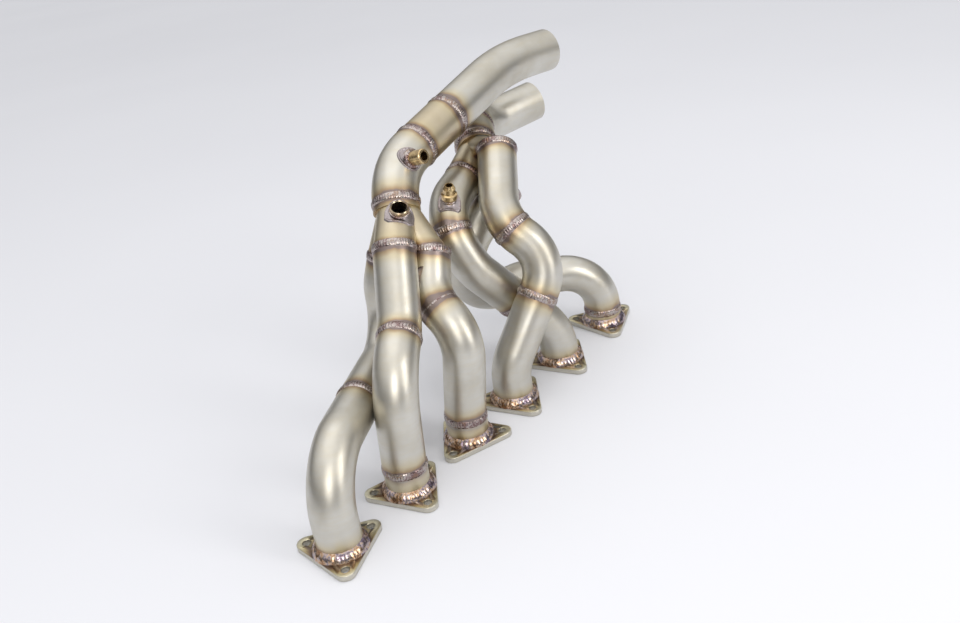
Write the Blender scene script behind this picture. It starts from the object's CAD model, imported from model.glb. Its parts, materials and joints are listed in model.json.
"""Looks of a welded stainless tubular exhaust manifold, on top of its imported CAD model.

The CAD tubes, collectors, flanges and fittings are shown as they are, in heat-tinted metal. The
plain CAD weld rings are replaced by rippled beads round the same joints, and the plain pads of the
fittings by weld metal that lies on the curved tubes. Everything is in metres.
"""

import json
import math
import random

import bpy
import numpy as np
from mathutils import Matrix, Vector
from mathutils.bvhtree import BVHTree


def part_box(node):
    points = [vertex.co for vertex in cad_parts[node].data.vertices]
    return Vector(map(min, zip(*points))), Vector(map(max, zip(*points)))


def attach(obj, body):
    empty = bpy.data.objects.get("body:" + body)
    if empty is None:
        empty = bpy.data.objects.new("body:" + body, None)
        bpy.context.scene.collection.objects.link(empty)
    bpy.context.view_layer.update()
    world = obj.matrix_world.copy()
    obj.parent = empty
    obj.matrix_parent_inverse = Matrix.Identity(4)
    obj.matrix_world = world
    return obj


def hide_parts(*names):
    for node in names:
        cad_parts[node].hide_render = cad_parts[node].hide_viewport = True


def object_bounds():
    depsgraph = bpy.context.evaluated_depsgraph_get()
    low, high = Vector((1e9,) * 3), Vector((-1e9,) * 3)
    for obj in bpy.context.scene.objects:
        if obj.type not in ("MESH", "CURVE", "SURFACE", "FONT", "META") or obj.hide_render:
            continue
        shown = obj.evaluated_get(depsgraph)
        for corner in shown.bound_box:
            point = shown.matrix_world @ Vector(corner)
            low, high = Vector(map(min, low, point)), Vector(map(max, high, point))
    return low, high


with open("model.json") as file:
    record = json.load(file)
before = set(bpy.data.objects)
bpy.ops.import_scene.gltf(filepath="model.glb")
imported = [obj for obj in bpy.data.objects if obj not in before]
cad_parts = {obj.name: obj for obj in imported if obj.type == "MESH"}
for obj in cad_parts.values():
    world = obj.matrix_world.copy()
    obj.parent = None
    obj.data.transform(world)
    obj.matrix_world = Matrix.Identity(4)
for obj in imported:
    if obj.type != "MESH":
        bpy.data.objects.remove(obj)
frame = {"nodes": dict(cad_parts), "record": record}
cad_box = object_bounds()
nodes = frame["nodes"]
mounts = {m["name"]: m for m in frame["record"].get("mounts", [])}
random.seed(7)

RUNNER_R = 0.0225
OUTLET_R = 0.0254
SAME_PLACE = 0.001  # centres closer than this belong to one joint
UP = np.array((0.0, 0.0, 1.0))

# ---------------------------------------------------------------- weld joints, found in the CAD

END_AREA = 6e-5  # the smallest flat ring face that counts as a tube's end
END_RADIUS_SLACK = 0.0022
OUTLET_JOINT_REACH = 0.02  # a free end further than this from the collector's weld is open


def circle_of(points):
    """Centre, radius and narrower spread of points that lie round a circle."""
    mid = points.mean(0)
    _, _, vt = np.linalg.svd(points - mid, full_matrices=False)
    x = (points - mid) @ vt[0]
    y = (points - mid) @ vt[1]
    fit, *_ = np.linalg.lstsq(np.c_[2 * x, 2 * y, np.ones(len(x))], x * x + y * y, rcond=None)
    radius = math.sqrt(max(0.0, fit[2] + fit[0] ** 2 + fit[1] ** 2))
    return mid + vt[0] * fit[0] + vt[1] * fit[1], radius, np.ptp(y)


def is_new(centre, centres):
    return all(np.linalg.norm(centre - c) > SAME_PLACE for c in centres)


def tube_ends(obj, radius):
    """The flat ring faces at the ends of a tube, as (centre, normal)."""
    mesh = obj.data
    flats = {}
    for poly in mesh.polygons:
        n = poly.normal
        key = (round(n.x, 3), round(n.y, 3), round(n.z, 3), round(n.dot(poly.center), 4))
        flats.setdefault(key, []).append(poly)
    found = []
    for key, polys in flats.items():
        if sum(p.area for p in polys) < END_AREA:
            continue
        points = np.array([mesh.vertices[v].co for p in polys for v in p.vertices])
        centre, fitted, narrow = circle_of(points)
        if abs(fitted - radius) < END_RADIUS_SLACK and narrow > radius:
            if is_new(centre, [c for c, _ in found]):
                found.append((centre, np.array(key[:3])))
    return found


def bore_of(name):
    return OUTLET_R if name.startswith("outlet") else RUNNER_R


def is_tube(name):
    return name[:6] in ("runner", "outlet") and "weld" not in name and "bung" not in name


def weld_at(centre, kin, shared):
    """The CAD weld node at a tube's end: in its own pipe where shared, else at a collector."""
    if shared:
        return kin + "_welds"
    if kin.startswith("runner"):
        return "collector_%d_inlet_weld" % (1 if int(kin[-1]) < 4 else 2)
    target = "collector_%s_outlet_weld" % kin[-1]
    low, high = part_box(target)
    if (Vector(centre) - (low + high) / 2).length > OUTLET_JOINT_REACH:
        return None
    return target


def find_rings():
    """Every butt joint as weld node -> list of (centre, normal, radius)."""
    ends = {name: tube_ends(obj, bore_of(name)) for name, obj in nodes.items() if is_tube(name)}
    flange_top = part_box("port_flange_1")[1].z
    rings = {}
    for name in sorted(ends):
        kin = "_".join(name.split("_")[:2])
        others = [c for other in ends if other != name for c, _ in ends[other]]
        for centre, normal in ends[name]:
            if abs(centre[2] - flange_top) < SAME_PLACE:
                continue
            target = weld_at(centre, kin, not is_new(centre, others))
            if target is None:
                continue
            listed = rings.setdefault(target, [])
            if is_new(centre, [c for c, _, _ in listed]):
                listed.append((centre, normal, bore_of(name)))
    return rings


def find_flange_rings():
    """Every fillet weld as weld node -> (centre on the flange, leg)."""
    found = {}
    for name in sorted(nodes):
        if name.startswith("flange_weld"):
            low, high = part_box(name)
            centre = (low + high) / 2
            centre.z = low.z
            found[name] = (np.array(centre), high.z - low.z)
    return found


rings = find_rings()
flange_rings = find_flange_rings()

# ---------------------------------------------------------------- beads

BUTT_PITCH = 0.0031  # spacing of the ripples, called dimes
FLANGE_PITCH = 0.0052
STEPS_PER_DIME = 8
BUTT_SIZE = (0.0088, 0.0014)  # width, height
SEAM_SIZE = (0.0024, 0.0004)
INLET_LIFT = 0.0015  # the inlet beads sit this far up the collector from the tube's end
DIAGONAL = 0.707


def new_piece(name, verts, faces, stands_for=()):
    mesh = bpy.data.meshes.new(name)
    mesh.from_pydata([tuple(v) for v in verts], [], faces)
    mesh.shade_smooth()
    obj = bpy.data.objects.new(name, mesh)
    bpy.context.scene.collection.objects.link(obj)
    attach(obj, "root")
    if stands_for:
        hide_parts(*stands_for)
    return obj


def axes_of(normal):
    n = Vector(normal).normalized()
    side = n.orthogonal().normalized()
    return np.array(side), np.array(n.cross(side)), np.array(n)


def rippled_ring(centre, normal, radius, profile, verts, faces, across=9, pitch=BUTT_PITCH):
    """A ring of overlapping dimes. profile(v, ripple) gives (radius, height) for v in -1..1."""
    sx, sy, sz = axes_of(normal)
    dimes = max(12, round(2 * math.pi * radius / pitch))
    steps = dimes * STEPS_PER_DIME
    lift = [random.uniform(0.8, 1.1) for _ in range(dimes)]
    lean = random.uniform(0, 1)
    start = len(verts)
    for i in range(steps):
        angle = 2 * math.pi * i / steps
        for j in range(across):
            v = 2 * j / (across - 1) - 1
            phase = (i / STEPS_PER_DIME + lean + 0.45 * (1 - v * v)) % dimes
            f = phase % 1
            crest = math.sqrt(max(0, 1 - (2 * f - 1) ** 2))
            ripple = lift[int(phase) % dimes] * (0.62 + 0.38 * crest)
            r, h = profile(v, ripple)
            verts.append(centre + (sx * math.cos(angle) + sy * math.sin(angle)) * r + sz * h)
    for i in range(steps):
        k = (i + 1) % steps
        for j in range(across - 1):
            a, b = start + i * across + j, start + k * across + j
            faces.append((a, b, b + 1, a + 1))


def butt_profile(radius, width, height):
    """A low crowned band round a tube."""
    sink = 0.0002

    def at(v, ripple):
        crown = math.sqrt(max(0, 1 - v * v))
        return radius - sink + height * crown * ripple, v * width / 2 * (0.9 + 0.1 * ripple)

    return at


def fillet_profile(radius, leg, climb=1.0, bulge=0.42):
    """A swollen corner fillet, leg out along the plate and climb legs up the tube."""
    sink = 0.0004

    def at(v, ripple):
        t = (v + 1) / 2
        swell = bulge * leg * math.sin(math.pi * t) * ripple * DIAGONAL
        return radius - sink + leg * t + swell, climb * leg * (1 - t) - sink + swell

    return at


bead_pieces = []
for name, found in rings.items():
    verts, faces = [], []
    for centre, normal, bore in found:
        lift = INLET_LIFT if "inlet" in name else 0.0
        # the upper joint of runner 3 is a bare seam, and all the others are full beads
        seam = name == "runner_3_welds" and centre[2] > 0.1
        profile = butt_profile(bore, *(SEAM_SIZE if seam else BUTT_SIZE))
        rippled_ring(centre + normal * lift, normal, bore, profile, verts, faces)
    bead_pieces.append(new_piece(name + "_bead", verts, faces, [name]))

fillet_pieces = []
for name, (centre, leg) in flange_rings.items():
    verts, faces = [], []
    profile = fillet_profile(RUNNER_R, 1.08 * leg, 1.45, 0.24)
    rippled_ring(centre, UP, RUNNER_R, profile, verts, faces, 11, FLANGE_PITCH)
    fillet_pieces.append(new_piece(name + "_bead", verts, faces, [name]))

# ---------------------------------------------------------------- weld pads of the fittings

PAD_FLAT = (0.59, -0.80, -0.14)  # the flat side of each D runs along this direction
PAD_STEPS = 120
PAD_ROWS = 14
PAD_TUCK = 0.0008  # how far the pad runs in under the fitting
CORNER_REACH = 1.16  # the corners of the D, in half widths from the axis
RAY_START = 0.02
RAY_LENGTH = 0.034
PAD_THICK = 0.0006
PAD_SINK = 0.0001
RIM_AT = 0.8  # the rim bead's place from the fitting (0) to the pad's edge (1)
RIM_SPREAD = 0.13
RIM_RISE = 0.0011
FEATHER_FROM = 0.9
RIM_DIMPLES = 11
BEAD_LIFT = 0.0008

# mount, its height over the fitting's foot, fitting, its radius, bead leg, pad width,
# drop from the axis to the flat side of the D (0 for a disc), hosts
FITTINGS = (
    ("sensor_thread", 0.0005, "sensor_bung", 0.010, 0.0016, 0.031, 0.0145, ("collector_1",)),
    ("outlet_tapping", 0.008, "outlet_bung", 0.008, 0.0036, 0.027, 0, ("outlet_1_elbow", "outlet_1_sleeve")),
    ("flare_bore", 0.008, "flare_fitting", 0.007, 0.0018, 0.026, 0.0115, ("runner_5_top_elbow",)),
)


def skin_of(name):
    mesh = nodes[name].data
    return BVHTree.FromPolygons([v.co for v in mesh.vertices], [p.vertices for p in mesh.polygons])


def outermost(skins, start, n):
    """Where a ray against n first meets a skin, and the skin's normal there."""
    hits = [skin.ray_cast(start, -n, RAY_LENGTH) for skin in skins]
    hits = [h for h in hits if h[0] is not None]
    if not hits:
        return start - n * (RAY_START + 0.001), n
    spot, normal, _, _ = min(hits, key=lambda h: h[3])
    return spot, -normal if normal.dot(n) < 0 else normal


def pad_reach(c, s, half, drop):
    """The pad's reach from the axis in the direction (c, s): a D where drop isn't 0."""
    if drop and s < 0:
        return min(half / max(abs(c), 1e-6), drop / max(abs(s), 1e-6), CORNER_REACH * half)
    return half


def pad_height(t, dimple):
    """Thickness of the pad from the fitting (t = 0) to its feathered edge (t = 1)."""
    height = PAD_THICK + RIM_RISE * math.exp(-(((t - RIM_AT) / RIM_SPREAD) ** 2)) * dimple
    if t > FEATHER_FROM:
        height *= max(0.0, (1 - t) / (1 - FEATHER_FROM))
    return height


def weld_pad(name, base, axis, bore, width, drop, hosts, stands_for):
    """A D or a disc of weld metal laid on its hosts, with a bead along its edge."""
    verts, faces = [], []
    n = Vector(axis)
    side = Vector(PAD_FLAT)
    side = (side - n * side.dot(n)).normalized()
    rise = n.cross(side)
    skins = [skin_of(host) for host in hosts]
    inner = bore - PAD_TUCK
    for i in range(PAD_STEPS):
        angle = 2 * math.pi * i / PAD_STEPS
        c, s = math.cos(angle), math.sin(angle)
        reach = pad_reach(c, s, width / 2, drop)
        dimple = 0.75 + 0.25 * abs(math.sin(angle * RIM_DIMPLES))
        for j in range(PAD_ROWS):
            t = j / (PAD_ROWS - 1)
            r = inner + (reach - inner) * t
            start = Vector(base) + side * (r * c) + rise * (r * s) + n * RAY_START
            spot, normal = outermost(skins, start, n)
            verts.append(spot + normal * (pad_height(t, dimple) - PAD_SINK))
    for i in range(PAD_STEPS):
        k = (i + 1) % PAD_STEPS
        for j in range(PAD_ROWS - 1):
            a, b = i * PAD_ROWS + j, k * PAD_ROWS + j
            faces.append((a, a + 1, b + 1, b))
    return new_piece(name, verts, faces, stands_for)


pad_pieces = []
for mount, height, name, bore, leg, width, drop, hosts in FITTINGS:
    axis = np.array(mounts[mount]["axis"])
    base = np.array(mounts[mount]["pos_m"]) - axis * height
    pad_pieces.append(weld_pad(name + "_pad", base, axis, bore, width, drop, hosts, [name + "_weld"]))
    verts, faces = [], []
    rippled_ring(base + axis * BEAD_LIFT, axis, bore, fillet_profile(bore, leg), verts, faces)
    bead_pieces.append(new_piece(name + "_bead", verts, faces))

# ---------------------------------------------------------------- materials


class Mat:
    """A Principled material built from short node chains in object space."""

    def __init__(self, name, **settings):
        self.mat = bpy.data.materials.new(name)
        self.mat.use_nodes = True
        self.tree = self.mat.node_tree
        self.shader = self.tree.nodes["Principled BSDF"]
        for key, value in settings.items():
            self.shader.inputs[key].default_value = value
        self.coords = self.add("ShaderNodeTexCoord").outputs["Object"]

    def add(self, kind, **values):
        node = self.tree.nodes.new(kind)
        for key, value in values.items():
            setattr(node, key, value)
        return node

    def link(self, source, target):
        self.tree.links.new(source, target)

    def feed(self, name, source):
        self.link(source, self.shader.inputs[name])

    def math(self, op, a, b=None, clamp=False):
        node = self.add("ShaderNodeMath", operation=op, use_clamp=clamp)
        for socket, value in zip(node.inputs, (a, b)):
            if value is None:
                continue
            if isinstance(value, (int, float)):
                socket.default_value = value
            else:
                self.link(value, socket)
        return node.outputs[0]

    def towards(self, operation, vector):
        """A vector operation between the surface point and a constant."""
        node = self.add("ShaderNodeVectorMath", operation=operation)
        self.link(self.coords, node.inputs[0])
        node.inputs[1].default_value = tuple(float(c) for c in vector)
        return node

    def noise(self, scale, detail, stretch=None):
        node = self.add("ShaderNodeTexNoise")
        node.inputs["Scale"].default_value = scale
        node.inputs["Detail"].default_value = detail
        node.inputs["Roughness"].default_value = 0.55
        source = self.coords
        if stretch:
            mapping = self.add("ShaderNodeMapping")
            mapping.inputs["Scale"].default_value = stretch
            self.link(source, mapping.inputs["Vector"])
            source = mapping.outputs[0]
        self.link(source, node.inputs["Vector"])
        return node.outputs["Fac"]

    def ramp(self, fac, stops):
        node = self.add("ShaderNodeValToRGB")
        ramp = node.color_ramp.elements
        while len(ramp) < len(stops):
            ramp.new(0.5)
        for element, (place, colour) in zip(ramp, stops):
            element.position = place
            element.color = (*colour, 1)
        self.link(fac, node.inputs[0])
        return node.outputs[0]

    def mix(self, fac, a, b):
        node = self.add("ShaderNodeMix", data_type="RGBA")
        for socket, value in ((node.inputs[0], fac), (node.inputs[6], a), (node.inputs[7], b)):
            if isinstance(value, tuple):
                socket.default_value = (*value, 1)
            else:
                self.link(value, socket)
        return node.outputs[2]

    def span(self, fac, low, high, to_low=0.0, to_high=1.0):
        node = self.add("ShaderNodeMapRange")
        self.link(fac, node.inputs[0])
        for socket, value in zip(node.inputs[1:5], (low, high, to_low, to_high)):
            socket.default_value = value
        return node.outputs[0]

    def bump(self, height, distance, strength):
        node = self.add("ShaderNodeBump")
        node.inputs["Strength"].default_value = strength
        node.inputs["Distance"].default_value = distance
        self.link(height, node.inputs["Height"])
        self.feed("Normal", node.outputs[0])

    def wander(self, cloud, size):
        """A distance that drifts from -size/2 to size/2 with a noise."""
        return self.math("MULTIPLY", self.math("SUBTRACT", cloud, 0.5), size)

    def from_weld(self, centre, normal, radius, tapered):
        """Distance along a tube's or a tapered lobe's surface from a weld ring, in metres."""
        length = self.towards("DISTANCE", centre).outputs["Value"]
        if not tapered:
            square = self.math("POWER", length, 2.0)
            return self.math("POWER", self.math("SUBTRACT", square, radius * radius, True), 0.5)
        shift = self.towards("SUBTRACT", centre)
        along = self.add("ShaderNodeVectorMath", operation="DOT_PRODUCT")
        self.link(shift.outputs[0], along.inputs[0])
        along.inputs[1].default_value = tuple(float(c) for c in normal)
        other_lobe = self.math("MULTIPLY", self.math("SUBTRACT", length, 1.2 * radius, True), 3.0)
        return self.math("ADD", self.math("ABSOLUTE", along.outputs["Value"]), other_lobe)


STEEL = (0.615, 0.60, 0.55)
STRAW = (0.58, 0.50, 0.33)
HONEY = (0.60, 0.53, 0.40)
BRONZE = (0.36, 0.24, 0.13)
PLUM = (0.19, 0.135, 0.13)
SHADED = (0.86, 0.84, 0.80)
METAL = {"Metallic": 1.0, "IOR": 2.5}

TINT_SPAN = (0.0042, 0.042)  # from the edge of a bead to the end of its heat tint
FADE_SPAN = (0.008, 0.036)
TINT_AMOUNT = 0.85
TINT_WANDER = 0.018

BUTT_COLOURS = [
    (0.34, (0.27, 0.17, 0.12)),
    (0.42, (0.20, 0.135, 0.135)),
    (0.49, (0.35, 0.285, 0.275)),
    (0.55, (0.48, 0.44, 0.42)),
    (0.62, (0.34, 0.24, 0.18)),
    (0.72, (0.27, 0.24, 0.29)),
]
PAD_COLOURS = [
    (0.34, (0.25, 0.18, 0.15)),
    (0.44, (0.32, 0.265, 0.26)),
    (0.54, (0.40, 0.36, 0.37)),
    (0.66, (0.33, 0.28, 0.27)),
]
FILLET_COLOURS = [
    (0.34, (0.13, 0.08, 0.085)),
    (0.43, (0.36, 0.21, 0.12)),
    (0.50, (0.58, 0.42, 0.30)),
    (0.56, (0.44, 0.38, 0.40)),
    (0.62, (0.17, 0.12, 0.15)),
    (0.70, (0.28, 0.25, 0.34)),
]
FLANGE_COLOURS = [
    (0.0, (0.10, 0.07, 0.06)),
    (0.15, (0.20, 0.14, 0.10)),
    (0.32, (0.44, 0.36, 0.21)),
    (0.55, (0.57, 0.52, 0.35)),
    (1.0, (0.62, 0.60, 0.50)),
]
FLANGE_TINT_SPAN = (0.026, 0.048)  # from the toe of the fillet weld to the bolt holes
FLANGE_TINT_WANDER = 0.016
CUT_EDGE = ((0.66, 0.64, 0.57), (0.50, 0.47, 0.40))


def tube_material(name, welds, tone, tapered):
    """Satin stainless tube with a heat tint that fades away from each weld ring."""
    m = Mat(name, **METAL)
    cloud = m.noise(26, 3)
    streak = m.noise(60, 5, (1, 1, 6))
    grain = m.noise(1500, 2)
    shaded = tuple(c * k for c, k in zip(tone, SHADED))
    base = m.mix(m.span(cloud, 0.35, 0.68), tone, shaded)
    base = m.mix(m.span(streak, 0.42, 0.75, 0, 0.22), base, STRAW)
    heat = [(0.0, PLUM), (0.02, PLUM), (0.06, BRONZE), (0.2, STRAW), (0.5, tone), (1.0, tone)]
    for centre, normal, radius in welds:
        d = m.from_weld(centre, normal, radius, tapered)
        d = m.math("ADD", d, m.wander(cloud, TINT_WANDER))
        tint = m.ramp(m.span(d, *TINT_SPAN), heat)
        base = m.mix(m.span(d, *FADE_SPAN, TINT_AMOUNT, 0.0), base, tint)
    m.feed("Base Color", base)
    worn = m.math("ADD", cloud, m.math("MULTIPLY", grain, 0.5))
    m.feed("Roughness", m.span(worn, 0.5, 1.1, 0.33, 0.46))
    m.bump(m.math("ADD", m.math("MULTIPLY", grain, 0.35), streak), 0.00012, 0.35)
    return m.mat


def bead_material(name, colours, shine):
    """Heat-coloured weld metal: pale crests with brown, plum and blue between."""
    m = Mat(name, **METAL)
    broad = m.noise(60, 3)
    fine = m.noise(480, 3)
    blend = m.math("ADD", m.math("MULTIPLY", broad, 0.75), m.math("MULTIPLY", fine, 0.3))
    m.feed("Base Color", m.ramp(blend, colours))
    m.feed("Roughness", m.span(fine, 0.3, 0.7, shine, shine + 0.16))
    m.bump(fine, 0.0004, 0.3)
    return m.mat


def flange_material(name, centre):
    """Laser-cut plate: plum and bronze by the weld, olive gold further out, bright cut edges."""
    m = Mat(name, **METAL)
    cloud = m.noise(45, 3)
    grain = m.noise(700, 3, (1, 6, 1))
    split = m.add("ShaderNodeSeparateXYZ")
    m.link(m.add("ShaderNodeNewGeometry").outputs["Normal"], split.inputs[0])
    top = m.span(split.outputs[2], 0.4, 0.8)
    away = m.towards("DISTANCE", centre).outputs["Value"]
    d = m.math("ADD", away, m.wander(cloud, FLANGE_TINT_WANDER))
    face = m.ramp(m.span(d, *FLANGE_TINT_SPAN), FLANGE_COLOURS)
    edge = m.mix(m.span(grain, 0.35, 0.65), *CUT_EDGE)
    m.feed("Base Color", m.mix(top, edge, face))
    m.feed("Roughness", m.span(grain, 0.3, 0.7, 0.24, 0.38))
    m.bump(grain, 0.0003, 0.35)
    return m.mat


def fitting_material(name, light, dark, rough):
    """Turned fitting with a little staining."""
    m = Mat(name, **METAL)
    cloud = m.noise(180, 3)
    grain = m.noise(2500, 2)
    m.feed("Base Color", m.mix(m.span(cloud, 0.4, 0.65), light, dark))
    m.feed("Roughness", m.span(grain, 0.3, 0.7, rough - 0.05, rough + 0.08))
    m.bump(grain, 0.00008, 0.4)
    return m.mat


def dress(objects, material):
    for obj in objects:
        obj.data.materials.clear()
        obj.data.materials.append(material)
        for poly in obj.data.polygons:
            poly.material_index = 0


def welds_on(obj, joints):
    """The joints whose ring lies on the surface of obj."""
    points = np.array([v.co for v in obj.data.vertices])
    found = []
    for centre, normal, radius in joints:
        gap = np.abs(np.linalg.norm(points - centre, axis=1) - radius)
        flat = np.abs((points - centre) @ normal)
        if ((gap < 0.0025) & (flat < 0.0015)).sum() >= 6:
            found.append((centre, normal, radius))
    return found


dress(bead_pieces, bead_material("butt_bead", BUTT_COLOURS, 0.2))
dress(pad_pieces, bead_material("weld_pad", PAD_COLOURS, 0.3))
dress(fillet_pieces, bead_material("fillet_bead", FILLET_COLOURS, 0.13))
brass = fitting_material("brass_fitting", (0.72, 0.55, 0.30), (0.46, 0.33, 0.18), 0.24)
bung = fitting_material("bung_steel", (0.66, 0.56, 0.40), (0.38, 0.27, 0.18), 0.26)
plate = fitting_material("gusset_plate", (0.20, 0.16, 0.14), (0.34, 0.26, 0.20), 0.34)

MOST_WELDS = 6
joints = [ring for found in rings.values() for ring in found]
joints += [(centre, UP, RUNNER_R) for centre, _ in flange_rings.values()]
shown = {name: obj for name, obj in nodes.items() if not obj.hide_render}
for name, obj in shown.items():
    if name.startswith("port_flange"):
        centre = flange_rings["flange_weld_" + name[-1]][0]
        dress([obj], flange_material(name + "_plate", centre))
    elif name in ("outlet_bung", "flare_fitting"):
        dress([obj], brass)
    elif name == "sensor_bung":
        dress([obj], bung)
    elif name == "gusset":
        dress([obj], plate)
    else:
        collector = name.startswith("collector")
        tone = HONEY if collector or name == "outlet_1_sleeve" else STEEL
        near = welds_on(obj, joints)[:MOST_WELDS]
        dress([obj], tube_material("steel_" + name, near, tone, collector))

# ---------------------------------------------------------------- edges of the CAD pieces

SMOOTH_UNDER = math.radians(32)
BEVEL_OVER = math.radians(50)
BEVEL_WIDTH = 0.0006
for name, obj in shown.items():
    obj.data.shade_smooth()
    obj.data.set_sharp_from_angle(angle=SMOOTH_UNDER)
    if name.startswith("port_flange"):
        obj.modifiers.new("join", "WELD").merge_threshold = 0.00001
        bevel = obj.modifiers.new("edge", "BEVEL")
        bevel.width = BEVEL_WIDTH
        bevel.segments = 2
        bevel.angle_limit = BEVEL_OVER

# ---------------------------------------------------------------- floor, light, camera

FLOOR_HALF = 14.0
FLOOR_GAP = 0.0002
PAPER = ((0.77, 0.785, 0.835), (0.79, 0.805, 0.855))
BACKDROP = (0.80, 0.82, 0.87)
SKY = [(0.0, 0.10), (0.22, 0.16), (0.45, 0.68), (0.7, 0.98), (1.0, 1.12)]  # from below to above
WARM = (1.0, 0.97, 0.93)


def paper_floor(low, middle):
    corners = ((-1, -1), (1, -1), (1, 1), (-1, 1))
    z = low.z - FLOOR_GAP
    mesh = bpy.data.meshes.new("floor")
    verts = [(middle.x + x * FLOOR_HALF, middle.y + y * FLOOR_HALF, z) for x, y in corners]
    mesh.from_pydata(verts, [], [(0, 1, 2, 3)])
    floor = bpy.data.objects.new("floor", mesh)
    bpy.context.scene.collection.objects.link(floor)
    paper = Mat("floor_paper", Roughness=0.6)
    paper.feed("Base Color", paper.mix(paper.span(paper.noise(1.2, 2), 0.3, 0.7), *PAPER))
    mesh.materials.append(paper.mat)


def studio_world():
    """A pale backdrop for the camera, and a room that is dark below and bright above for the rest."""
    world = bpy.data.worlds.new("studio")
    bpy.context.scene.world = world
    world.use_nodes = True
    tree = world.node_tree
    backdrop = tree.nodes["Background"]
    backdrop.inputs[0].default_value = (*BACKDROP, 1)
    glow = tree.nodes.new("ShaderNodeBackground")
    where = tree.nodes.new("ShaderNodeTexCoord")
    parts = tree.nodes.new("ShaderNodeSeparateXYZ")
    shade = tree.nodes.new("ShaderNodeValToRGB")
    rays = tree.nodes.new("ShaderNodeLightPath")
    either = tree.nodes.new("ShaderNodeMixShader")
    elements = shade.color_ramp.elements
    while len(elements) < len(SKY):
        elements.new(0.5)
    for element, (place, level) in zip(elements, SKY):
        element.position = place
        element.color = (level, level * 0.99, level * 0.985, 1)
    for source, target in (
        (where.outputs["Generated"], parts.inputs[0]),
        (parts.outputs[2], shade.inputs[0]),
        (shade.outputs[0], glow.inputs[0]),
        (rays.outputs["Is Camera Ray"], either.inputs[0]),
        (glow.outputs[0], either.inputs[1]),
        (backdrop.outputs[0], either.inputs[2]),
        (either.outputs[0], tree.nodes["World Output"].inputs[0]),
    ):
        tree.links.new(source, target)


def softbox(name, place, aim, width, height, watts, colour):
    light = bpy.data.lights.new(name, "AREA")
    light.shape = "RECTANGLE"
    light.size = width
    light.size_y = height
    light.energy = watts
    light.color = colour
    obj = bpy.data.objects.new(name, light)
    bpy.context.scene.collection.objects.link(obj)
    away = (Vector(place) - Vector(aim)).normalized()
    obj.matrix_world = Matrix.Translation(place) @ away.to_track_quat("Z", "Y").to_matrix().to_4x4()


def main_camera():
    """A high view over the near end of the row of ports, towards the far end."""
    right = Vector((0.58691, -0.79713, -0.14181))
    down = Vector((-0.42827, -0.15701, -0.88990))
    ahead = Vector((0.68711, 0.58303, -0.43354))
    turn = Matrix((right, -down, -ahead)).transposed().to_4x4()
    camera = bpy.data.cameras.new("camera")
    camera.sensor_width = 36.0
    camera.lens = 36.8
    camera.clip_end = 60
    eye = bpy.data.objects.new("camera", camera)
    eye.matrix_world = Matrix.Translation((-0.4638, -0.6086, 0.5842)) @ turn
    bpy.context.scene.collection.objects.link(eye)
    bpy.context.scene.camera = eye
    bpy.context.scene.view_settings.view_transform = "Standard"


low, high = (Vector(c) for c in cad_box)
middle = (low + high) / 2
paper_floor(low, middle)
studio_world()
softbox("overhead", (0.1, 0.3, 2.4), middle, 2.0, 2.0, 7, (1.0, 0.985, 0.96))
softbox("camera_side", (-1.6, -1.5, 1.5), middle, 1.1, 1.5, 19, WARM)
softbox("right_side", (0.6, -2.2, 1.1), middle, 0.6, 1.5, 15, (1.0, 0.975, 0.94))
main_camera()
